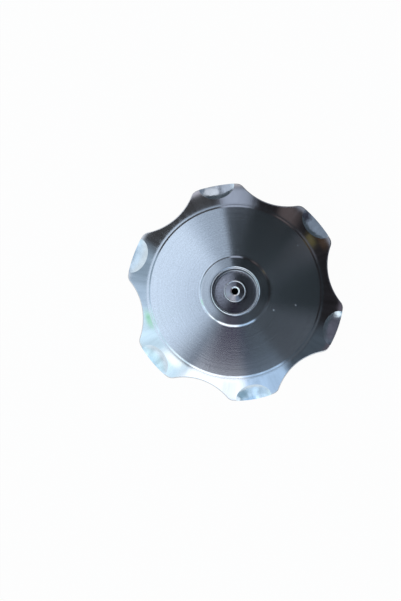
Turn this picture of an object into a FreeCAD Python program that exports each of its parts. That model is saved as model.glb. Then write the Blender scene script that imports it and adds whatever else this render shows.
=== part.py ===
# Screw-on fuel filler cap for a small motorcycle tank, turned and milled from aluminium bar.
# The cap stands on the lower end of its skirt, at z = 0, with its axis on Z and one lobe towards +Y.
# It is three pieces: the milled cap, a vent nipple pressed into it, and a rubber seal inside it.
# All lengths are in millimetres and all angles in degrees.

import FreeCAD, Part

import math
import os
from FreeCAD import Vector

# Skirt, and the bore that takes the threaded neck of the tank
NECK_BORE_RADIUS = 24.3
THREADED_HEIGHT = 10.0
SKIRT_WALL = 3.8
SKIRT_HEIGHT = 10.0
MOUTH_CHAMFER = 1.0
SKIRT_EDGE_CHAMFER = 0.6
SKIRT_ROOT_ROUND = 0.8

# Rubber seal, sprung into a relief groove above the thread
SEAL_THICKNESS = 2.0
SEAL_WIDTH = 7.5
SEAL_EDGE_ROUND = 0.6
SEAL_CLEARANCE = 0.2
RELIEF_DEPTH = 0.7
RELIEF_ROOM = 0.5

# Grip flange from above: a lobed rim, with a wide scallop milled between each two lobes
LOBE_COUNT = 6
VALLEY_LEDGE = 2.3
VALLEY_CUTTER_RADIUS = 18.5
LOBE_DEPTH = 4.6
LOBE_CORNER_RADIUS = 3.0

# Grip flange from the side: its crown falls away from a narrow lip to the rim
FLANGE_HEIGHT = 9.6
CROWN_WIDTH = 1.9
CROWN_RADIUS = 22.0
CROWN_START_SLOPE = 13.0
RIM_TOP_ROUND = 0.5
RIM_BOTTOM_CHAMFER = 0.9

# Finger scoops: a large ball-nosed cutter is sunk into the crown over the middle of each lobe
SCOOP_CUTTER_RADIUS = 15.0
SCOOP_REACH = 4.7
SCOOP_EDGE_SLOPE = 50.0

# Turned top: a low crowned face, sunk a little below a sloped lip, with a raised land in its middle
LIP_WIDTH = 0.6
LIP_FALL = 0.13
LIP_ROUND = 0.15
LIP_BEVEL_WIDTH = 0.4
LIP_BEVEL_DROP = 0.2
FACE_SINK = 0.3
FACE_RISE = 0.9
FACE_BULGE = 0.12
LAND_WIDTH = 3.7
LAND_HEIGHT = 0.4
LAND_CHAMFER_WIDTH = 0.5
LAND_TOP_ROUND = 0.25
LAND_FOOT_ROUND = 0.4

# Recess round the vent nipple, and the web that is left below it
RECESS_RADIUS = 7.0
RECESS_FLOOR_ROUND = 0.5
RECESS_EDGE_ROUND = 1.05
WEB_THICKNESS = 2.4

# Vent nipple, pressed through the web
VENT_RADIUS = 1.1
VENT_CHAMFER = 0.45
SHANK_WALL = 1.2
SHANK_TAIL = 0.5
SHANK_TAIL_CHAMFER = 0.3
STEM_WALL = 1.5
COLLAR_OVERHANG = 0.6
COLLAR_HEIGHT = 1.0
BEAD_OVERHANG = 0.9
BEAD_HEIGHT = 1.9
BEAD_TAPER = 0.8
END_FALL = 0.25
END_RIM_ROUND = 0.2
NIPPLE_STAND = 0.2

# Radii that follow from the sizes above
SKIRT_RADIUS = NECK_BORE_RADIUS + SKIRT_WALL
VALLEY_RADIUS = SKIRT_RADIUS + VALLEY_LEDGE
RIM_RADIUS = VALLEY_RADIUS + LOBE_DEPTH
CROWN_START_RADIUS = VALLEY_RADIUS - CROWN_WIDTH
LIP_RADIUS = CROWN_START_RADIUS - LIP_BEVEL_WIDTH
FACE_RADIUS = LIP_RADIUS - LIP_WIDTH
LAND_RADIUS = RECESS_RADIUS + LAND_WIDTH
LAND_FOOT_RADIUS = LAND_RADIUS + LAND_CHAMFER_WIDTH
RELIEF_RADIUS = NECK_BORE_RADIUS + RELIEF_DEPTH
SEAL_RADIUS = RELIEF_RADIUS - SEAL_CLEARANCE
SEAL_BORE_RADIUS = SEAL_RADIUS - SEAL_WIDTH
SHANK_RADIUS = VENT_RADIUS + SHANK_WALL
STEM_RADIUS = VENT_RADIUS + STEM_WALL
COLLAR_RADIUS = STEM_RADIUS + COLLAR_OVERHANG
BEAD_RADIUS = STEM_RADIUS + BEAD_OVERHANG
END_RADIUS = BEAD_RADIUS - 2 * END_RIM_ROUND

# Levels that follow from the sizes above, from the mouth upwards
CEILING = THREADED_HEIGHT + RELIEF_ROOM + SEAL_THICKNESS
SEAL_FACE = CEILING - SEAL_THICKNESS
RECESS_FLOOR = CEILING + WEB_THICKNESS
LIP_TOP = SKIRT_HEIGHT + FLANGE_HEIGHT
LIP_EDGE = LIP_TOP - LIP_FALL
CROWN_START = LIP_EDGE - LIP_BEVEL_DROP
FACE_EDGE = LIP_TOP - FACE_SINK
LAND_FOOT = FACE_EDGE + FACE_RISE
LAND_TOP = LAND_FOOT + LAND_HEIGHT
NIPPLE_FOOT = CEILING - SHANK_TAIL
COLLAR_TOP = RECESS_FLOOR + COLLAR_HEIGHT
NIPPLE_TOP = LAND_TOP + NIPPLE_STAND
BEAD_FOOT = NIPPLE_TOP - BEAD_HEIGHT
END_EDGE = NIPPLE_TOP - END_FALL

AXIS = Vector(0, 0, 1)
ORIGIN = Vector(0, 0, 0)
LOBE_ANGLE = 360.0 / LOBE_COUNT
MILLING_MARGIN = 1.0
SAME = 1e-4


def at(radius, height, angle=0.0):
    """A point at a radius and height, turned by an angle from the middle of the first lobe."""
    turn = math.radians(angle)
    return Vector(-radius * math.sin(turn), radius * math.cos(turn), height)


def line(start, end):
    return Part.LineSegment(start, end).toShape()


def arc(start, middle, end):
    return Part.Arc(start, middle, end).toShape()


def lines_through(points):
    return [line(start, end) for start, end in zip(points, points[1:])]


def turned(edges):
    """The solid that a closed profile sweeps in one turn about the axis."""
    return Part.Face(Part.Wire(edges)).revolve(ORIGIN, AXIS, 360)


def rings(solid, radius, height):
    """The round edges of a turned solid at one radius and height."""
    found = []
    for edge in solid.Edges:
        if not isinstance(edge.Curve, Part.Circle):
            continue
        off_radius = abs(edge.Curve.Radius - radius)
        off_height = abs(edge.Curve.Center.z - height)
        if off_radius < SAME and off_height < SAME:
            found.append(edge)
    return found


def crown_height(radius):
    """The height of the flange's crown, an arc that starts below the lip at its start slope."""
    slope = math.radians(CROWN_START_SLOPE)
    across = radius - CROWN_START_RADIUS + CROWN_RADIUS * math.sin(slope)
    centre = CROWN_START - CROWN_RADIUS * math.cos(slope)
    return centre + math.sqrt(CROWN_RADIUS**2 - across**2)


def crown_profile(outer_radius):
    radii = (CROWN_START_RADIUS, (CROWN_START_RADIUS + outer_radius) / 2, outer_radius)
    return arc(*(at(radius, crown_height(radius)) for radius in radii))


def face_profile():
    """The crowned face, a long arc from the foot of the land out to the lip."""
    inner = at(LAND_FOOT_RADIUS, LAND_FOOT)
    outer = at(FACE_RADIUS, FACE_EDGE)
    middle = (inner + outer) * 0.5 + AXIS * FACE_BULGE
    return arc(inner, middle, outer)


def recess_and_land_profile():
    return lines_through(
        [
            at(SHANK_RADIUS, CEILING),
            at(SHANK_RADIUS, RECESS_FLOOR),
            at(RECESS_RADIUS, RECESS_FLOOR),
            at(RECESS_RADIUS, LAND_TOP),
            at(LAND_RADIUS, LAND_TOP),
            at(LAND_FOOT_RADIUS, LAND_FOOT),
        ]
    )


def lip_profile():
    return lines_through(
        [
            at(FACE_RADIUS, FACE_EDGE),
            at(FACE_RADIUS, LIP_TOP),
            at(LIP_RADIUS, LIP_EDGE),
            at(CROWN_START_RADIUS, CROWN_START),
        ]
    )


def skirt_and_bore_profile(outer_radius):
    return lines_through(
        [
            at(outer_radius, crown_height(outer_radius)),
            at(outer_radius, SKIRT_HEIGHT),
            at(SKIRT_RADIUS, SKIRT_HEIGHT),
            at(SKIRT_RADIUS, 0),
            at(NECK_BORE_RADIUS, 0),
            at(NECK_BORE_RADIUS, THREADED_HEIGHT),
            at(RELIEF_RADIUS, THREADED_HEIGHT),
            at(RELIEF_RADIUS, CEILING),
            at(SHANK_RADIUS, CEILING),
        ]
    )


def turned_blank():
    """The cap as it leaves the lathe, still round and a little wider than its lobes."""
    bar_radius = RIM_RADIUS + MILLING_MARGIN
    solid = turned(
        [
            *recess_and_land_profile(),
            face_profile(),
            *lip_profile(),
            crown_profile(bar_radius),
            *skirt_and_bore_profile(bar_radius),
        ]
    )
    solid = solid.makeChamfer(MOUTH_CHAMFER, rings(solid, NECK_BORE_RADIUS, 0))
    solid = solid.makeChamfer(SKIRT_EDGE_CHAMFER, rings(solid, SKIRT_RADIUS, 0))
    solid = solid.makeFillet(SKIRT_ROOT_ROUND, rings(solid, SKIRT_RADIUS, SKIRT_HEIGHT))
    solid = solid.makeFillet(LIP_ROUND, rings(solid, FACE_RADIUS, LIP_TOP))
    solid = solid.makeFillet(LAND_TOP_ROUND, rings(solid, LAND_RADIUS, LAND_TOP))
    solid = solid.makeFillet(LAND_FOOT_ROUND, rings(solid, LAND_FOOT_RADIUS, LAND_FOOT))
    solid = solid.makeFillet(RECESS_EDGE_ROUND, rings(solid, RECESS_RADIUS, LAND_TOP))
    return solid.makeFillet(RECESS_FLOOR_ROUND, rings(solid, RECESS_RADIUS, RECESS_FLOOR))


def corner_offset():
    """The angle about the axis between a valley and the centre of each lobe corner beside it."""
    to_cutter = VALLEY_RADIUS + VALLEY_CUTTER_RADIUS
    to_corner = RIM_RADIUS - LOBE_CORNER_RADIUS
    apart = VALLEY_CUTTER_RADIUS + LOBE_CORNER_RADIUS
    cosine = (to_cutter**2 + to_corner**2 - apart**2) / (2 * to_cutter * to_corner)
    return math.degrees(math.acos(cosine))


def lobe_corner(valley, side):
    """The rounded corner on one side of a valley: its rim end, its middle and its valley end."""
    centre = at(RIM_RADIUS - LOBE_CORNER_RADIUS, 0, valley + side * corner_offset())
    cutter = at(VALLEY_RADIUS + VALLEY_CUTTER_RADIUS, 0, valley)
    outwards = Vector(centre).normalize()
    to_cutter = (cutter - centre).normalize()
    halfway = (outwards + to_cutter).normalize()
    return [centre + way * LOBE_CORNER_RADIUS for way in (outwards, halfway, to_cutter)]


def lobed_outline():
    """The closed outline of the grip from above: lobes, rounded corners and scalloped valleys."""
    edges = []
    for number in range(LOBE_COUNT):
        lobe = number * LOBE_ANGLE
        valley = lobe + LOBE_ANGLE / 2
        before = lobe_corner(valley - LOBE_ANGLE, 1)
        entering = lobe_corner(valley, -1)
        leaving = lobe_corner(valley, 1)
        edges.append(arc(before[0], at(RIM_RADIUS, 0, lobe), entering[0]))
        edges.append(arc(*entering))
        edges.append(arc(entering[2], at(VALLEY_RADIUS, 0, valley), leaving[2]))
        edges.append(arc(*reversed(leaving)))
    return Part.Wire(edges)


def rim_edges(solid, underside):
    """The edges round the lobes and valleys, on the flange's underside or on its crown."""
    found = []
    for edge in solid.Edges:
        start, end = edge.Vertexes[0].Point, edge.Vertexes[-1].Point
        middle = edge.valueAt((edge.FirstParameter + edge.LastParameter) / 2)
        inside = math.hypot(middle.x, middle.y) < VALLEY_RADIUS - SAME
        upright = math.hypot(start.x - end.x, start.y - end.y) < SAME
        low = abs(middle.z - SKIRT_HEIGHT) < SAME
        if not inside and not upright and low == underside:
            found.append(edge)
    return found


def scoop_cutter(angle):
    """The ball of the cutter over a lobe, placed by the slope that it leaves at the scoop's inner edge."""
    edge_radius = RIM_RADIUS - SCOOP_REACH
    slope = math.radians(SCOOP_EDGE_SLOPE)
    centre_radius = edge_radius + SCOOP_CUTTER_RADIUS * math.sin(slope)
    centre_height = crown_height(edge_radius) + SCOOP_CUTTER_RADIUS * math.cos(slope)
    centre = at(centre_radius, centre_height)
    ball = Part.makeSphere(SCOOP_CUTTER_RADIUS, centre)
    # The ball's seam is turned outwards, clear of the cap.
    ball.rotate(centre, AXIS, 90)
    ball.rotate(ORIGIN, AXIS, angle)
    return ball


def cap_body():
    """The cap: the turned blank, its lobes milled out, its rim broken and its scoops cut."""
    grip = Part.Face(lobed_outline()).extrude(AXIS * (LAND_TOP + MILLING_MARGIN))
    milled = turned_blank().common(grip)
    milled = milled.makeFillet(RIM_TOP_ROUND, rim_edges(milled, underside=False))
    milled = milled.makeChamfer(RIM_BOTTOM_CHAMFER, rim_edges(milled, underside=True))
    return milled.cut([scoop_cutter(number * LOBE_ANGLE) for number in range(LOBE_COUNT)])


def end_rim_profile():
    """The half-round rim that stands up round the nipple's end, from the bead's wall inwards."""
    middle = at(BEAD_RADIUS - END_RIM_ROUND, END_EDGE + END_RIM_ROUND)
    return arc(at(BEAD_RADIUS, END_EDGE), middle, at(END_RADIUS, END_EDGE))


def vent_nipple():
    """The turned nipple: a shank in the web, a collar on the recess floor, a stem and a barbed bead."""
    body = lines_through(
        [
            at(END_RADIUS, END_EDGE),
            at(VENT_RADIUS, NIPPLE_TOP),
            at(VENT_RADIUS, NIPPLE_FOOT),
            at(SHANK_RADIUS, NIPPLE_FOOT),
            at(SHANK_RADIUS, RECESS_FLOOR),
            at(COLLAR_RADIUS, RECESS_FLOOR),
            at(COLLAR_RADIUS, COLLAR_TOP),
            at(STEM_RADIUS, COLLAR_TOP),
            at(STEM_RADIUS, BEAD_FOOT - BEAD_TAPER),
            at(BEAD_RADIUS, BEAD_FOOT),
            at(BEAD_RADIUS, END_EDGE),
        ]
    )
    solid = turned([*body, end_rim_profile()])
    solid = solid.makeChamfer(VENT_CHAMFER, rings(solid, VENT_RADIUS, NIPPLE_TOP))
    return solid.makeChamfer(SHANK_TAIL_CHAMFER, rings(solid, SHANK_RADIUS, NIPPLE_FOOT))


def neck_seal():
    """The flat rubber ring that the end of the tank's neck is screwed up against."""
    solid = turned(
        lines_through(
            [
                at(SEAL_BORE_RADIUS, SEAL_FACE),
                at(SEAL_RADIUS, SEAL_FACE),
                at(SEAL_RADIUS, CEILING),
                at(SEAL_BORE_RADIUS, CEILING),
                at(SEAL_BORE_RADIUS, SEAL_FACE),
            ]
        )
    )
    corners = rings(solid, SEAL_BORE_RADIUS, SEAL_FACE) + rings(solid, SEAL_RADIUS, SEAL_FACE)
    return solid.makeFillet(SEAL_EDGE_ROUND, corners)


os.makedirs("parts", exist_ok=True)
cap_body().exportStep("parts/cap_body.step")
vent_nipple().exportStep("parts/vent_nipple.step")
neck_seal().exportStep("parts/neck_seal.step")
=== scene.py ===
# A screw-on fuel filler cap: a milled aluminium cap with a turned face and a polished grip, the
# thread cut inside it, a vent nipple pressed into its middle and a rubber seal against its ceiling.
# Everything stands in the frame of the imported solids, in metres, with the cap's axis on Z. Sizes are
# given in millimetres, slopes and directions in degrees.

import math

import bmesh
import bpy
from mathutils import Matrix, Vector


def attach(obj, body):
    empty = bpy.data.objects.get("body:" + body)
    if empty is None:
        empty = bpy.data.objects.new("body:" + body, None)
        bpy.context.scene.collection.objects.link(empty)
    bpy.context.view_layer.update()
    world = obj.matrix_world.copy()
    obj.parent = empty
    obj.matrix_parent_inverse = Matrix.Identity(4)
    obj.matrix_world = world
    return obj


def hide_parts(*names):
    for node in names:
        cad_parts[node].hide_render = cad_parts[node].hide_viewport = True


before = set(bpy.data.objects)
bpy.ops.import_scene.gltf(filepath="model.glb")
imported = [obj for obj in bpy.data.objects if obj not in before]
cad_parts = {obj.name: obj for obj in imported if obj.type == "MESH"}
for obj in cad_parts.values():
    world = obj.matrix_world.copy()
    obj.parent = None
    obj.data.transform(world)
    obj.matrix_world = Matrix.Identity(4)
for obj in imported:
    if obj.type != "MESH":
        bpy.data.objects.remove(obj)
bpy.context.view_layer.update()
scene = bpy.context.scene
scene.view_settings.view_transform = "Standard"
MM = 0.001


# Camera
# The cap is seen from almost straight above, a little from the right and from below in the picture,
# and it is turned so that the lobe on +Y stands ten degrees to the left of the picture's top.
PICTURE_TURN = math.radians(10)
PICTURE_UP = Vector((math.sin(PICTURE_TURN), math.cos(PICTURE_TURN), 0))
CAMERA_PLACE = Vector((5.8, -34.6, 669.2)) * MM
CAMERA_AIM = Vector((-11.4, -0.9, 19.2)) * MM
CAMERA_LENS = 121.7
CAMERA_NEAR = 10

camera = bpy.data.objects.new("camera", bpy.data.cameras.new("camera"))
scene.collection.objects.link(camera)
camera.data.lens = CAMERA_LENS
camera.data.clip_start = CAMERA_NEAR * MM
ahead = (CAMERA_AIM - CAMERA_PLACE).normalized()
right = ahead.cross(PICTURE_UP).normalized()
above = right.cross(ahead)
turned = Matrix((right, above, -ahead)).transposed().to_4x4()
camera.matrix_world = Matrix.Translation(CAMERA_PLACE) @ turned
scene.camera = camera


# Studio
# The cap lies on a white sheet under a dark ceiling. Soft panels hang to its left and low in front
# of it, so that the turned face is bright on one side and dark on the other, as metal needs to be.
SHEET_SIZE = 12000
SHEET_DROP = 0.02
SHEET_WHITE = 0.9
SHEET_OWN_WHITE = 0.97
SHADE_UNDER_CAP = (25.2, 27)
# Far out on this side the sheet is painted grey where the metal mirrors it, a painted shade.
SHADED_SIDE = 48
SHADED_FROM = (30, 50)
SHADED_GREY = 0.15
CEILING_DARK = (0.017, 0.016, 0.018)
WALL_LIGHT = (0.10, 0.105, 0.12)
WALL_TILTS = (52, 66)
CLUTTER = (0.70, 1.30)
CLUTTER_TILTS = (26, 32)
CLUTTER_SIZE = 1 / 6
MIDDLE_HALF = (0.25, 0.75)

# Each panel reaches over a range of directions round the picture, clockwise from its top, and over
# a range of tilts from straight above. The second number of each edge says how softly it fades.
PANELS = {
    "ceiling_glimmer": dict(
        start=(352, 3), end=(180, 20), near=(-5, 1), far=(22, 4), light=(0.022, 0.030, 0.034)
    ),
    "ceiling_beam": dict(
        start=(44, 6), end=(63, 6), near=(4, 2), far=(22, 4), light=(0.038, 0.047, 0.054)
    ),
    "beam_end": dict(
        start=(40, 4), end=(60, 5), near=(19, 2), far=(26, 2), light=(0.13, 0.13, 0.15)
    ),
    "right_glimmer": dict(
        start=(98, 10), end=(200, 20), near=(-5, 1), far=(22, 4), light=(0.055, 0.067, 0.078)
    ),
    "right_brow": dict(
        start=(98, 10), end=(166, 12), near=(12, 3), far=(24, 3), light=(0.10, 0.115, 0.135)
    ),
    "front_glimmer": dict(
        start=(176, 16), end=(222, 14), near=(0, 1), far=(20, 3), light=(0.044, 0.036, 0.072)
    ),
    "key_panel": dict(
        start=(229, 26), end=(349, 3), near=(5.5, 2), far=(28, 3), light=(0.64, 0.77, 0.94)
    ),
    "key_brow": dict(
        start=(238, 16), end=(331, 12), near=(13, 3), far=(28, 3), light=(0.90, 1.06, 1.24)
    ),
    "key_end": dict(
        start=(332, 12), end=(350, 3), near=(5, 3), far=(28, 3), light=(0.44, 0.53, 0.64)
    ),
    "back_left_dusk": dict(
        start=(297, 5), end=(349, 2), near=(29, 2), far=(66, 4), light=(0.060, 0.061, 0.064)
    ),
    "left_dusk": dict(
        start=(276, 8), end=(300, 5), near=(28, 3), far=(70, 4), light=(0.35, 0.46, 0.56)
    ),
    "left_panel": dict(
        start=(262, 3), end=(281, 6), near=(28, 3), far=(70, 4), light=(0.56, 0.72, 0.88)
    ),
    "cyan_card": dict(
        start=(214, 3), end=(264, 3), near=(26, 3), far=(70, 6), light=(0.84, 1.09, 1.24)
    ),
    "white_card": dict(
        start=(221, 3), end=(235, 4), near=(24, 3), far=(40, 4), light=(1.3, 1.4, 1.4)
    ),
    "mint_edge": dict(
        start=(253, 3), end=(263, 2), near=(26, 2), far=(36, 3), light=(0.48, 0.95, 0.66)
    ),
    "low_front_panel": dict(
        start=(172, 7), end=(216, 4), near=(17.5, 1.5), far=(70, 4), light=(1.5, 1.6, 1.7)
    ),
    "front_blue_edge": dict(
        start=(143, 5), end=(176, 5), near=(18.5, 1.5), far=(66, 4), light=(0.56, 0.77, 1.02)
    ),
    "right_dusk": dict(
        start=(110, 8), end=(144, 6), near=(26, 3), far=(62, 4), light=(0.085, 0.11, 0.135)
    ),
    "warm_card": dict(
        start=(47, 2), end=(54, 2), near=(28, 3), far=(40, 5), light=(0.14, 0.12, 0.055)
    ),
    "rusty_card": dict(
        start=(50, 3), end=(60, 3), near=(44, 4), far=(62, 3), light=(0.065, 0.042, 0.028)
    ),
    "dusty_card": dict(
        start=(25, 3), end=(37, 4), near=(26, 3), far=(56, 8), light=(0.105, 0.085, 0.085)
    ),
    "top_patch": dict(
        start=(350, 2), end=(8, 4), near=(24.5, 1.5), far=(60, 8), light=(0.41, 0.46, 0.56)
    ),
    "left_wall": dict(
        start=(258, 8), end=(322, 5), near=(64, 6), far=(110, 1), light=(0.97, 1.06, 1.16)
    ),
    "cyan_wall": dict(
        start=(198, 8), end=(262, 8), near=(64, 6), far=(110, 1), light=(0.94, 1.12, 1.15)
    ),
    "front_wall": dict(
        start=(136, 6), end=(198, 8), near=(62, 4), far=(110, 1), light=(0.80, 0.95, 1.10)
    ),
    "back_wall": dict(
        start=(322, 5), end=(352, 4), near=(60, 5), far=(110, 1), light=(0.66, 0.65, 0.72)
    ),
    "back_window": dict(
        start=(347, 7), end=(14, 7), near=(66, 7), far=(98, 4), light=(0.95, 0.90, 0.92)
    ),
    "back_shade": dict(
        start=(341, 2), end=(346, 2), near=(64, 4), far=(98, 4), light=(0.20, 0.20, 0.23)
    ),
    "right_wall": dict(
        start=(14, 4), end=(80, 8), near=(60, 4), far=(110, 1), light=(0.28, 0.30, 0.35)
    ),
    "dark_doorway": dict(
        start=(60, 3), end=(77, 3), near=(70, 4), far=(94, 4), light=(0.04, 0.036, 0.05)
    ),
    "dark_wall": dict(
        start=(82, 5), end=(136, 4), near=(56, 4), far=(84, 5), light=(0.14, 0.125, 0.15)
    ),
    "front_shade": dict(
        start=(139, 4), end=(160, 6), near=(68, 6), far=(98, 4), light=(0.34, 0.47, 0.56)
    ),
    "front_window": dict(
        start=(131, 2), end=(140, 2), near=(71, 3), far=(88, 3), light=(1.5, 1.5, 1.5)
    ),
    "left_horizon": dict(
        start=(198, 8), end=(322, 5), near=(82, 7), far=(110, 1), light=(0.98, 1.0, 1.02)
    ),
}


def add(tree, kind, sockets=(), **settings):
    """Adds a shader node. A socket's value is a number, a colour or the output that feeds it."""
    made = tree.nodes.new("ShaderNode" + kind)
    for name, value in settings.items():
        setattr(made, name, value)
    for name, value in dict(sockets).items():
        if isinstance(value, bpy.types.NodeSocket):
            tree.links.new(value, made.inputs[name])
        else:
            made.inputs[name].default_value = value
    return made


def reckon(tree, operation, first, second=0):
    return add(tree, "Math", {0: first, 1: second}, operation=operation).outputs[0]


def in_degrees(tree, angle):
    return reckon(tree, "MULTIPLY", angle, math.degrees(1))


def vector(tree, operation, first, second=(0, 0, 0)):
    return add(tree, "VectorMath", {0: first, 1: second}, operation=operation).outputs[0]


def dot(tree, first, second):
    return add(tree, "VectorMath", {0: first, 1: second}, operation="DOT_PRODUCT").outputs["Value"]


def length(tree, first, second=(0, 0, 0)):
    """How far apart two places are, or how long one vector is."""
    return add(tree, "VectorMath", {0: first, 1: second}, operation="DISTANCE").outputs["Value"]


def scaled(tree, first, by):
    return add(tree, "VectorMath", {0: first, "Scale": by}, operation="SCALE").outputs[0]


def flattened(tree, place):
    """The same place or direction without its height."""
    return vector(tree, "MULTIPLY", place, (1, 1, 0))


def place_on_piece(tree):
    """Where a spot lies on its piece, in millimetres."""
    return scaled(tree, add(tree, "TexCoord").outputs["Object"], 1 / MM)


def grey(tone):
    return (tone, tone, tone, 1)


def blend(tree, factor, first, second):
    """Two colours or the outputs that feed them, mixed by a factor."""
    sockets = {"Factor": factor, 6: first, 7: second}
    return add(tree, "Mix", sockets, data_type="RGBA").outputs[2]


def fade(tree, value, start, end):
    """A smooth step from 0 at the start to 1 at the end, which may lie below the start."""
    low, high = sorted((start, end))
    first, last = (0, 1) if start < end else (1, 0)
    step = {"Value": value, "From Min": low, "From Max": high, "To Min": first, "To Max": last}
    return add(tree, "MapRange", step, interpolation_type="SMOOTHSTEP").outputs[0]


def between(tree, value, low, high):
    """Spreads the middle half of a noise over a range."""
    first, last = MIDDLE_HALF
    step = {"Value": value, "From Min": first, "From Max": last, "To Min": low, "To Max": high}
    return add(tree, "MapRange", step).outputs[0]


def blotches(tree, place, size, detail=3.0):
    """An uneven noise from 0 to 1, whose patches are about one size across."""
    return add(tree, "TexNoise", {"Vector": place, "Scale": 1 / size, "Detail": detail}).outputs[0]


def picture_direction(degrees):
    """The level direction at an angle clockwise from the picture's top."""
    turn = math.radians(degrees) + PICTURE_TURN
    return Vector((math.sin(turn), math.cos(turn), 0))


def hang_panel(tree, ray, tilt, behind, start, end, near, far, light):
    """Lays one soft panel over the light behind it and gives the light of both."""
    half = (end[0] - start[0]) % 360 / 2
    middle = start[0] + half
    along = dot(tree, ray, picture_direction(middle))
    aside = dot(tree, ray, picture_direction(middle + 90))
    off = in_degrees(tree, reckon(tree, "ARCTAN2", aside, along))
    mask = fade(tree, off, -half - start[1], -half + start[1])
    for edge in (
        fade(tree, off, half + end[1], half - end[1]),
        fade(tree, tilt, near[0] - near[1], near[0] + near[1]),
        fade(tree, tilt, far[0] + far[1], far[0] - far[1]),
    ):
        mask = reckon(tree, "MULTIPLY", mask, edge)
    return blend(tree, mask, behind, (*light, 1))


world = bpy.data.worlds.new("studio")
scene.world = world
world.use_nodes = True
sky = world.node_tree
sky.nodes.clear()
ray = add(sky, "TexCoord").outputs["Generated"]
height = add(sky, "SeparateXYZ", {0: ray}).outputs["Z"]
tilt = in_degrees(sky, reckon(sky, "ARCCOSINE", height))
light = blend(sky, fade(sky, tilt, *WALL_TILTS), (*CEILING_DARK, 1), (*WALL_LIGHT, 1))
for panel in PANELS.values():
    light = hang_panel(sky, ray, tilt, light, **panel)

# Beyond the panels the room is uneven.
around = vector(sky, "NORMALIZE", flattened(sky, ray))
uneven = between(sky, blotches(sky, around, CLUTTER_SIZE), *CLUTTER)
cluttered = scaled(sky, light, uneven)
light = blend(sky, fade(sky, tilt, *CLUTTER_TILTS), light, cluttered)
studio = add(sky, "Background", {"Color": light, "Strength": 1.0})
add(sky, "OutputWorld", {"Surface": studio.outputs[0]})

sheet = bpy.data.meshes.new("white_sheet")
half = SHEET_SIZE / 2 * MM
corners = [(-half, -half, 0), (half, -half, 0), (half, half, 0), (-half, half, 0)]
sheet.from_pydata(corners, [], [(0, 1, 2, 3)])
floor = bpy.data.objects.new("white_sheet", sheet)
floor.location.z = -SHEET_DROP * MM
scene.collection.objects.link(floor)

# The paper is white by itself where the camera, a mirror or glass looks at it, save under the cap,
# and it still takes the cap's shadow. On the side away from the panels, far out, the sheet is painted
# grey where the metal mirrors it, a painted shade in the reflections.
paper = bpy.data.materials.new("white_paper")
paper.use_nodes = True
tree = paper.node_tree
tree.nodes.clear()
rays = add(tree, "LightPath").outputs
seen = reckon(tree, "ADD", rays["Is Camera Ray"], rays["Is Glossy Ray"])
seen = reckon(tree, "MINIMUM", reckon(tree, "ADD", seen, rays["Is Transmission Ray"]), 1.0)
spot = flattened(tree, place_on_piece(tree))
open_sheet = fade(tree, length(tree, spot), *SHADE_UNDER_CAP)
own_white = reckon(tree, "MULTIPLY", reckon(tree, "MULTIPLY", seen, SHEET_OWN_WHITE), open_sheet)
rightwards = dot(tree, spot, picture_direction(SHADED_SIDE))
shaded = fade(tree, rightwards, *SHADED_FROM)
mirrored = reckon(tree, "MULTIPLY", rays["Is Glossy Ray"], shaded)
lit = add(tree, "BsdfDiffuse", {"Color": grey(SHEET_WHITE)})
glow = add(tree, "Emission", {"Color": grey(1), "Strength": 1.0})
both = add(tree, "MixShader", {0: own_white, 1: lit.outputs[0], 2: glow.outputs[0]})
painted_shade = add(tree, "BsdfDiffuse", {"Color": grey(SHADED_GREY)})
whole = add(tree, "MixShader", {0: mirrored, 1: both.outputs[0], 2: painted_shade.outputs[0]})
add(tree, "OutputMaterial", {"Surface": whole.outputs[0]})
sheet.materials.append(paper)


# Cap
# The cap is one piece of aluminium bar, turned to its shape, milled round its grip and plunged with
# a ball-nosed cutter for the scoops. Its face keeps its turning marks and its grip is polished.
METAL = (0.72, 0.74, 0.78)
BRIGHT_METAL = (0.82, 0.84, 0.87)
# The recess floor's metal is painted darker than the face, a painted shade of the deep recess; its
# coarse grain is its own.
RECESS_FLOOR_SHADE_METAL = (0.46, 0.44, 0.48)
# The scoops' metal is tinted blue, a painted tint of the blue light that they mirror.
SCOOP_BLUE_TINTED_METAL = (0.62, 0.73, 0.82)
WALL_METAL = (0.60, 0.62, 0.66)
MOUTH_METAL = (0.70, 0.74, 0.80)
RING_TONES = (0.93, 1.05)
RING_ROUGHNESS = (0.94, 1.06)
RING_DETAIL = {"Detail": 3.0, "Roughness": 0.6}
GRAIN_SIZE = 0.35
GRAIN_DEPTH = 0.0008
GRAIN_TONES = (0.88, 1.10)
QUARTER_TURN = 0.25
SMUDGE_SIZE = 2.5
SMUDGE_SMOOTHER = 0.04
SMUDGE_ROUGHER = 0.05


def finish(name, colour, roughness, **shader_values):
    """A material with one shader, and the place on the piece in millimetres for its nodes."""
    material = bpy.data.materials.new(name)
    material.use_nodes = True
    tree = material.node_tree
    shader = tree.nodes["Principled BSDF"]
    shader.inputs["Base Color"].default_value = (*colour, 1)
    shader.inputs["Roughness"].default_value = roughness
    for socket, value in shader_values.items():
        shader.inputs[socket.replace("_", " ")].default_value = value
    return material, tree, shader, place_on_piece(tree)


def lathe_finish(name, colour, roughness, along):
    """Metal whose shine is drawn out across the rings that a lathe leaves round the axis."""
    shine = dict(Metallic=1.0, Anisotropic=along, Anisotropic_Rotation=QUARTER_TURN)
    material, tree, shader, place = finish(name, colour, roughness, **shine)
    round_axis = add(tree, "Tangent", direction_type="RADIAL", axis="Z").outputs[0]
    tree.links.new(round_axis, shader.inputs["Tangent"])
    return material, tree, shader, place


def feed(tree, shader, **outputs):
    """Links each output to the shader's socket of that name."""
    for socket, output in outputs.items():
        tree.links.new(output, shader.inputs[socket.replace("_", " ")])


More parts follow.
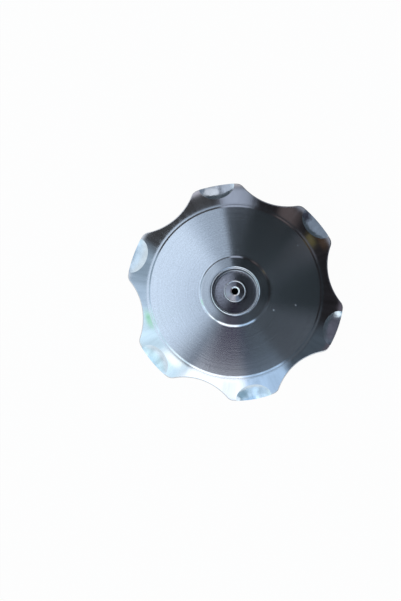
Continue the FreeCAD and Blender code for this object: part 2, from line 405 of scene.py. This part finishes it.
def turning_marks(tree, distance, pitch):
    """Uneven fine rings that a lathe tool leaves, one pitch apart."""
    marks = {"W": distance, "Scale": 1 / pitch, **RING_DETAIL}
    return add(tree, "TexNoise", marks, noise_dimensions="1D").outputs[0]


def dent(tree, height, depth, below=None):
    """A bump of a real depth in millimetres, on top of another bump where one is given."""
    sockets = {"Height": height, "Distance": depth * MM, "Strength": 1.0}
    if below is not None:
        sockets["Normal"] = below
    return add(tree, "Bump", sockets).outputs[0]


def falling_out(tree, flat, slope, faced=(0, 0, 1)):
    """Where a surface faces that also falls away from the axis by a slope, as rise over run."""
    outwards = scaled(tree, vector(tree, "NORMALIZE", flat), slope)
    return vector(tree, "NORMALIZE", vector(tree, "ADD", faced, outwards))


def ramp(tree, value, points, top):
    """A value that runs straight from point to point, each a place and a height from 0 to 1."""
    line = add(tree, "ValToRGB", {0: reckon(tree, "DIVIDE", value, top)})
    stops = line.color_ramp.elements
    for place, _ in points[1:-1]:
        stops.new(place / top)
    for stop, (place, amount) in zip(stops, points):
        stop.position = place / top
        stop.color = grey(amount)
    return line.outputs[0]


def turned_finish(
    name,
    colour,
    roughness,
    pitch,
    depth,
    along,
    slope=None,
    grain_size=GRAIN_SIZE,
    grain_depth=GRAIN_DEPTH,
    grain_tones=GRAIN_TONES,
):
    """Aluminium straight from the lathe: ringed, and rough only across its rings.

    The rings have a pitch and a depth. Along, from 0 to 1, is how far they draw out the shine, and
    the slope, where there is one, says how steeply the surface falls away from the axis.
    """
    material, tree, shader, place = lathe_finish(name, colour, roughness, along)
    flat = flattened(tree, place)
    distance = length(tree, flat)
    marks = turning_marks(tree, distance, pitch)
    specks = blotches(tree, place, grain_size)
    ring_tone = between(tree, marks, *RING_TONES)
    tone = reckon(tree, "MULTIPLY", ring_tone, between(tree, specks, *grain_tones))
    smoothest, roughest = (factor * roughness for factor in RING_ROUGHNESS)
    faced = falling_out(tree, flat, slope(tree, distance)) if slope else None
    grained = dent(tree, specks, grain_depth, faced)
    feed(
        tree,
        shader,
        Base_Color=scaled(tree, colour, tone),
        Roughness=between(tree, marks, smoothest, roughest),
        Normal=dent(tree, marks, depth, grained),
    )
    return material


def polished_finish(name, colour, roughness, wave, depth, tones):
    """Aluminium polished by hand: a mirror with slow waves and a few smudges."""
    material, tree, shader, place = finish(name, colour, roughness, Metallic=1.0)
    smudges = blotches(tree, place, SMUDGE_SIZE)
    waves = blotches(tree, place, wave, detail=1.0)
    smoothest = roughness - SMUDGE_SMOOTHER
    roughest = roughness + SMUDGE_ROUGHER
    feed(
        tree,
        shader,
        Base_Color=scaled(tree, colour, between(tree, waves, *tones)),
        Roughness=between(tree, smudges, smoothest, roughest),
        Normal=dent(tree, waves, depth),
    )
    return material


# The lathe tool cuts each ring of a flat with a slope of its own, so a flat shines as a low cone.
# The slopes of the top are in degrees at their distances from the axis: first the land round the
# recess and its step, then the face, and last the step and the narrow ring at the face's edge.
TOP_FROM = 7.96
TOP_TO = 28.45
SLOPES_TO = 30.0
TOP_SLOPES = (
    (7.93, 2.2),
    (8.8, 5.0),
    (10.5, 5.0),
    (10.9, 12.0),
    (11.1, 18.0),
    (11.3, 12.0),
    (11.7, 4.1),
    (27.15, 7.3),
    (27.35, 22.0),
    (27.6, 22.0),
    (27.75, 9.7),
    (27.95, 9.7),
    (28.5, 13.0),
)
LAND_TONE = 0.74
LAND_EDGE = (11.0, 10.7)

# Each nick lies in a direction clockwise from the picture's top, at a distance from the axis.
NICKS = ((103, 19.8), (116.3, 13.7), (53.6, 24.8))
NICK_SIZE = 0.28
NICK_DEPTH = 0.05

# The crown is an arc that leaves the face's edge with a slope. CROWN_ACROSS is what has to be added
# to a distance from the axis to give the distance from the arc's own middle.
CROWN_FROM = 28.5
CROWN_ROUND = 22.0
CROWN_START_SLOPE = 13.0
CROWN_ACROSS = CROWN_ROUND * math.sin(math.radians(CROWN_START_SLOPE)) - CROWN_FROM
CROWN_ROUGHNESS = 0.10
CROWN_ALONG = 0.7
STROKE_WIDTH = 1.4
STROKE_STRETCH = 0.12
STROKE_TONES = (0.92, 1.05)
STROKE_ROUGHNESS = (0.07, 0.15)
STROKE_DEPTH = 0.004


def steady(degrees):
    """A slope that is the same all over."""
    return lambda tree, distance: math.tan(math.radians(degrees))


def top_slope(tree, distance):
    points = [(place, math.tan(math.radians(slope))) for place, slope in TOP_SLOPES]
    return ramp(tree, distance, points, SLOPES_TO)


def turned_top():
    """The land and the face in one turned finish, with a few small nicks from use."""
    material = turned_finish(
        "turned_top", METAL, roughness=0.125, pitch=0.45, depth=0.0003, along=0.95, slope=top_slope
    )
    tree = material.node_tree
    shader = tree.nodes["Principled BSDF"]
    spot = flattened(tree, place_on_piece(tree))
    land = fade(tree, length(tree, spot), *LAND_EDGE)
    tone = reckon(tree, "SUBTRACT", 1.0, reckon(tree, "MULTIPLY", land, 1 - LAND_TONE))
    nicks = 0
    for degrees, distance in NICKS:
        off = length(tree, spot, picture_direction(degrees) * distance)
        nicks = reckon(tree, "MAXIMUM", nicks, fade(tree, off, NICK_SIZE, 0))
    sunk = reckon(tree, "MULTIPLY", nicks, -1)
    colour = shader.inputs["Base Color"].links[0].from_socket
    surface = shader.inputs["Normal"].links[0].from_socket
    feed(
        tree,
        shader,
        Base_Color=scaled(tree, colour, tone),
        Normal=dent(tree, sunk, NICK_DEPTH, surface),
    )
    return material


def crown_slope(tree, distance):
    across = reckon(tree, "ADD", distance, CROWN_ACROSS)
    drop = reckon(tree, "SUBTRACT", CROWN_ROUND**2, reckon(tree, "MULTIPLY", across, across))
    return reckon(tree, "DIVIDE", across, reckon(tree, "SQRT", drop))


def polished_crown():
    """The grip's crown, a turned arc that was polished with strokes that run out from the axis."""
    material, tree, shader, place = lathe_finish("polished_crown", METAL, CROWN_ROUGHNESS, CROWN_ALONG)
    flat = flattened(tree, place)
    distance = length(tree, flat)
    sideways = scaled(tree, vector(tree, "NORMALIZE", flat), CROWN_FROM)
    along = scaled(tree, flat, STROKE_STRETCH)
    strokes = blotches(tree, vector(tree, "ADD", sideways, along), STROKE_WIDTH)
    faced = falling_out(tree, flat, crown_slope(tree, distance))
    feed(
        tree,
        shader,
        Base_Color=scaled(tree, METAL, between(tree, strokes, *STROKE_TONES)),
        Roughness=between(tree, strokes, *STROKE_ROUGHNESS),
        Normal=dent(tree, strokes, STROKE_DEPTH, faced),
    )
    return material


# The recess has a flat floor, turned with a slight lean, and a cove between the floor and its wall.
RECESS_FLOOR = 14.9
RECESS_FLOOR_TO = 6.85
RECESS_COVE = 0.6
RECESS_LEAN = 2.15

FINISHES = {
    "top": turned_top(),
    # The recess floor's darker metal is a painted shade.
    "recess_floor": turned_finish(
        "turned_recess_floor",
        RECESS_FLOOR_SHADE_METAL,
        roughness=0.13,
        pitch=0.20,
        depth=0.0012,
        along=0.85,
        slope=steady(RECESS_LEAN),
        grain_size=0.45,
        grain_depth=0.006,
        grain_tones=(0.55, 1.35),
    ),
    "recess_wall": turned_finish(
        "turned_recess_wall", WALL_METAL, roughness=0.36, pitch=0.15, depth=0.0005, along=0.2
    ),
    "recess_mouth": turned_finish(
        "turned_recess_mouth", MOUTH_METAL, roughness=0.2, pitch=0.15, depth=0.0005, along=0.3
    ),
    "edges": turned_finish(
        "turned_edges", BRIGHT_METAL, roughness=0.12, pitch=0.15, depth=0.0005, along=0.5
    ),
    "crown": polished_crown(),
    "walls": polished_finish(
        "milled_walls", WALL_METAL, roughness=0.22, wave=1.0, depth=0.004, tones=(0.95, 1.05)
    ),
    "scoops": polished_finish(
        "milled_scoops", SCOOP_BLUE_TINTED_METAL, roughness=0.15, wave=1.6, depth=0.04, tones=(0.90, 1.06)
    ),
    "skirt": turned_finish(
        "turned_skirt", WALL_METAL, roughness=0.26, pitch=0.25, depth=0.002, along=0.6
    ),
}

TOP_LEVEL = 19.2
FLANGE_FOOT = 10.0
SCOOP_CUTTER = 15.0
SCOOP_FIRST = Vector((0, 41.791, 28.415))
SCOOP_COUNT = 6
SCOOP_TURNS = [math.tau * number / SCOOP_COUNT for number in range(SCOOP_COUNT)]
SCOOP_CENTRES = [Matrix.Rotation(turn, 3, "Z") @ SCOOP_FIRST for turn in SCOOP_TURNS]

# How near a spot has to lie to a surface, and how nearly it has to face the same way, as a cosine.
NEARLY = 0.03
SCOOP_FACING = 0.99
CROWN_FACING = 0.997
TOP_FACING = 0.2
FLOOR_FACING = 0.999


def in_a_scoop(point, facing):
    """Whether a spot lies on a scoop: it then faces the middle of the cutter's ball."""
    for centre in SCOOP_CENTRES:
        to_centre = centre - point
        near = to_centre.length < SCOOP_CUTTER + 2 * NEARLY
        if near and facing.dot(to_centre) > SCOOP_FACING * SCOOP_CUTTER:
            return True
    return False


def on_the_crown(point, facing, distance):
    """Whether a spot of the grip lies on its turned crown, and not on its walls or broken edges."""
    slope = math.asin(min(1.0, (distance + CROWN_ACROSS) / CROWN_ROUND))
    crown = Vector((point.x, point.y, 0)).normalized() * math.sin(slope)
    crown.z = math.cos(slope)
    return facing.dot(crown) > CROWN_FACING


def finish_at(point, facing):
    """Which finish a spot on the cap has, from its place in millimetres and where it faces."""
    distance = math.hypot(point.x, point.y)
    if distance > CROWN_FROM - NEARLY and point.z > FLANGE_FOOT + NEARLY:
        if in_a_scoop(point, facing):
            return "scoops"
        return "crown" if on_the_crown(point, facing, distance) else "walls"
    upwards = point.z > TOP_LEVEL and facing.z > TOP_FACING
    if upwards and TOP_FROM < distance < TOP_TO + NEARLY:
        return "top"
    if point.z < RECESS_FLOOR - NEARLY:
        return "skirt"
    at_floor = point.z < RECESS_FLOOR + NEARLY and facing.z > FLOOR_FACING
    if at_floor and distance < RECESS_FLOOR_TO:
        return "recess_floor"
    if distance < TOP_FROM and facing.z > -NEARLY:
        return "recess_wall" if distance < RECESS_FLOOR_TO + RECESS_COVE + NEARLY else "recess_mouth"
    return "edges"


# The solid has a recess with a plain foot and a round mouth, and a low lip round the face. The real
# recess has a wider cove at its foot and a fine rim round its mouth, and the face has no lip.
SOLID_RECESS_TO = 7.0
SOLID_FOOT_ROUND = 0.5
SOLID_MOUTH_ROUND = 1.05
RECESS_MOUTH_ROUND = 0.58
LAND_TOP = 20.6
CROWN_START = 19.27
LIP_FALL = 0.03
LIP_FROM = 27.4


def redrawn(distance, level):
    """The distance and the level that a spot of the solid gets: only its recess and lip change."""
    if LIP_FROM < distance < CROWN_FROM + NEARLY and level > CROWN_START:
        return distance, CROWN_START + (CROWN_FROM - distance) * LIP_FALL
    recess_from = SOLID_RECESS_TO - SOLID_FOOT_ROUND - NEARLY
    recess_to = SOLID_RECESS_TO + SOLID_MOUTH_ROUND + NEARLY
    if level <= RECESS_FLOOR - NEARLY or not recess_from < distance < recess_to:
        return distance, level
    wall = RECESS_FLOOR_TO + RECESS_COVE
    if level > LAND_TOP - SOLID_MOUTH_ROUND - NEARLY:
        shrink = RECESS_MOUTH_ROUND / SOLID_MOUTH_ROUND
        off = SOLID_RECESS_TO + SOLID_MOUTH_ROUND - distance
        return wall + RECESS_MOUTH_ROUND - off * shrink, LAND_TOP - (LAND_TOP - level) * shrink
    if level > RECESS_FLOOR + SOLID_FOOT_ROUND + NEARLY:
        return wall, level
    grow = RECESS_COVE / SOLID_FOOT_ROUND
    off = SOLID_RECESS_TO - distance
    return wall - off * grow, RECESS_FLOOR + (level - RECESS_FLOOR) * grow


cap = bpy.data.objects.new("milled_cap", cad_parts["cap_body"].data.copy())
scene.collection.objects.link(cap)
for vertex in cap.data.vertices:
    flat = vertex.co.xy / MM
    place = (flat.length, vertex.co.z / MM)
    if redrawn(*place) != place:
        distance, level = redrawn(*place)
        vertex.co.xy = flat.normalized() * distance * MM
        vertex.co.z = level * MM
cap.data.update()
cap.data.materials.clear()
for material in FINISHES.values():
    cap.data.materials.append(material)
order = list(FINISHES)
for polygon in cap.data.polygons:
    polygon.material_index = order.index(finish_at(polygon.center / MM, polygon.normal))
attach(cap, "root")
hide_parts("cap_body")

# The fine round rim that the tool leaves standing at the mouth of the recess, half sunk in its edge.
RIM_MIDDLE = 7.48
RIM_LEVEL = 20.48
RIM_ROUND = 0.22
RIM_STEPS = 24
STEPS_ROUND = 256


def corner_at(distance, turn, level):
    """The corner at a distance from the axis and at a level, turned round the axis from +X."""
    return Vector((distance * math.cos(turn), distance * math.sin(turn), level))


def skin(name, rows, endless=False):
    """A piece with a skin over closed rows of corners.

    It is smooth and runs back into its first row if it is endless, or else it has two end faces.
    """
    mesh = bmesh.new()
    rows = [[mesh.verts.new(corner * MM) for corner in row] for row in rows]
    closing = rows[:1] if endless else []
    for one, other in zip(rows, rows[1:] + closing):
        for corner in range(len(one)):
            after = (corner + 1) % len(one)
            mesh.faces.new((one[corner], one[after], other[after], other[corner])).smooth = endless
    if not endless:
        mesh.faces.new(rows[0])
        mesh.faces.new(reversed(rows[-1]))
    bmesh.ops.recalc_face_normals(mesh, faces=mesh.faces)
    piece = bpy.data.objects.new(name, bpy.data.meshes.new(name))
    mesh.to_mesh(piece.data)
    mesh.free()
    scene.collection.objects.link(piece)
    return piece


turns_round = [math.tau * step / STEPS_ROUND for step in range(STEPS_ROUND)]
rows = []
for step in range(RIM_STEPS):
    angle = math.tau * step / RIM_STEPS
    distance = RIM_MIDDLE + RIM_ROUND * math.cos(angle)
    level = RIM_LEVEL + RIM_ROUND * math.sin(angle)
    rows.append([corner_at(distance, turn, level) for turn in turns_round])
rim = skin("recess_rim", rows, endless=True)
rim.data.materials.append(
    turned_finish("turned_rim", BRIGHT_METAL, roughness=0.22, pitch=0.15, depth=0.0005, along=0.3)
)
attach(rim, "root")


# Inside thread
# A coarse right-hand thread is cut in the bore, for the filler neck to screw into. Its ridge stands
# in from the plain wall of the bore and runs out to nothing at both ends.
THREAD_ROOT = 24.35
THREAD_CREST = 22.8
THREAD_PITCH = 3.0
THREAD_FOOT_WIDTH = 2.5
THREAD_CREST_WIDTH = 0.8
THREAD_START = 2.3
THREAD_TURNS = 2.1
THREAD_RUN_OUT = 0.12
THREAD_LEAST = 0.05
STEPS_A_TURN = 160

rows = []
for step in range(round(THREAD_TURNS * STEPS_A_TURN) + 1):
    turns = step / STEPS_A_TURN
    full = min(1.0, turns / THREAD_RUN_OUT, (THREAD_TURNS - turns) / THREAD_RUN_OUT)
    crest = THREAD_ROOT - (THREAD_ROOT - THREAD_CREST) * max(full, THREAD_LEAST)
    turn = turns * math.tau
    middle = THREAD_START + THREAD_PITCH * turns
    ridge = (
        (THREAD_ROOT, -THREAD_FOOT_WIDTH / 2),
        (crest, -THREAD_CREST_WIDTH / 2),
        (crest, THREAD_CREST_WIDTH / 2),
        (THREAD_ROOT, THREAD_FOOT_WIDTH / 2),
    )
    rows.append([corner_at(distance, turn, middle + rise) for distance, rise in ridge])
thread = skin("inside_thread", rows)
thread.data.materials.append(
    turned_finish("cut_thread", METAL, roughness=0.26, pitch=0.2, depth=0.002, along=0.5)
)
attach(thread, "root")


# Vent nipple
# A small nipple turned from aluminium bar and pressed through the web from above, into the middle
# of the recess. The tank draws its air through the hole in its low crowned end of darker metal, whose
# fine rim and broken edge round the hole are painted bright, a painted highlight. The hole's own
# wall is painted near black, a painted shade.
END_METAL = (0.36, 0.35, 0.39)
END_ROUGHNESS = 0.2
END_ALONG = 0.8
END_LEAN = 4.0
END_RIM_FROM = 3.05
END_RIM_BLUR = 0.05
END_GRAIN_SIZE = 0.4
END_GRAIN_DEPTH = 0.004
END_GRAIN_ROUGHNESS = (0.17, 0.24)
END_RING_PITCH = 0.15
END_RING_DEPTH = 0.002
VENT_EDGE = 1.6
VENT_EDGE_FOOT = 20.2
VENT_WALL = 1.2
VENT_BLUR = 0.1
# The hole's wall is painted near black, a painted shade of the dark hole.
PAINTED_HOLE_SHADE = (0.04, 0.04, 0.045)

nipple_metal, tree, shader, place = lathe_finish("turned_nipple", END_METAL, END_ROUGHNESS, END_ALONG)
flat = flattened(tree, place)
distance = length(tree, flat)
end_rim = fade(tree, distance, END_RIM_FROM - END_RIM_BLUR, END_RIM_FROM + END_RIM_BLUR)
level = dot(tree, place, (0, 0, 1))
upper = fade(tree, level, VENT_EDGE_FOOT - VENT_BLUR, VENT_EDGE_FOOT + VENT_BLUR)
vent_edge = reckon(tree, "MULTIPLY", fade(tree, distance, VENT_EDGE, VENT_EDGE - VENT_BLUR), upper)
# The rim of the end and the edge round the hole are painted in brighter metal, a painted highlight.
bright = reckon(tree, "MAXIMUM", end_rim, vent_edge)
toned = blend(tree, bright, (*END_METAL, 1), (*BRIGHT_METAL, 1))
# Painted shade: the wall of the hole is painted near black.
hole_shade = fade(tree, distance, VENT_WALL + VENT_BLUR, VENT_WALL)
toned = blend(tree, reckon(tree, "SUBTRACT", hole_shade, vent_edge), toned, (*PAINTED_HOLE_SHADE, 1))
flat_end = reckon(tree, "SUBTRACT", 1.0, end_rim)
lean = reckon(tree, "MULTIPLY", flat_end, math.tan(math.radians(END_LEAN)))
faced = falling_out(tree, flat, lean, add(tree, "NewGeometry").outputs["Normal"])
specks = blotches(tree, place, END_GRAIN_SIZE)
grained = dent(tree, specks, END_GRAIN_DEPTH, faced)
marks = turning_marks(tree, distance, END_RING_PITCH)
feed(
    tree,
    shader,
    Base_Color=toned,
    Roughness=between(tree, specks, *END_GRAIN_ROUGHNESS),
    Normal=dent(tree, marks, END_RING_DEPTH, grained),
)
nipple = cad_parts["vent_nipple"]
nipple.data.materials.clear()
nipple.data.materials.append(nipple_metal)


# Seal
# A flat ring of black nitrile rubber, punched from sheet and sprung into the groove above the
# thread. Its skin is matt, with a fine grain and a faint bloom.
RUBBER = (0.03, 0.03, 0.035)
RUBBER_ROUGHNESS = 0.75
BLOOM_ROUGHNESS = (0.65, 0.85)
RUBBER_GRAIN_SIZE = 0.25
RUBBER_GRAIN_DEPTH = 0.02

rubber, tree, shader, place = finish("nitrile_rubber", RUBBER, RUBBER_ROUGHNESS)
grain = blotches(tree, place, RUBBER_GRAIN_SIZE)
feed(
    tree,
    shader,
    Roughness=between(tree, grain, *BLOOM_ROUGHNESS),
    Normal=dent(tree, grain, RUBBER_GRAIN_DEPTH),
)
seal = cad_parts["neck_seal"]
seal.data.materials.clear()
seal.data.materials.append(rubber)
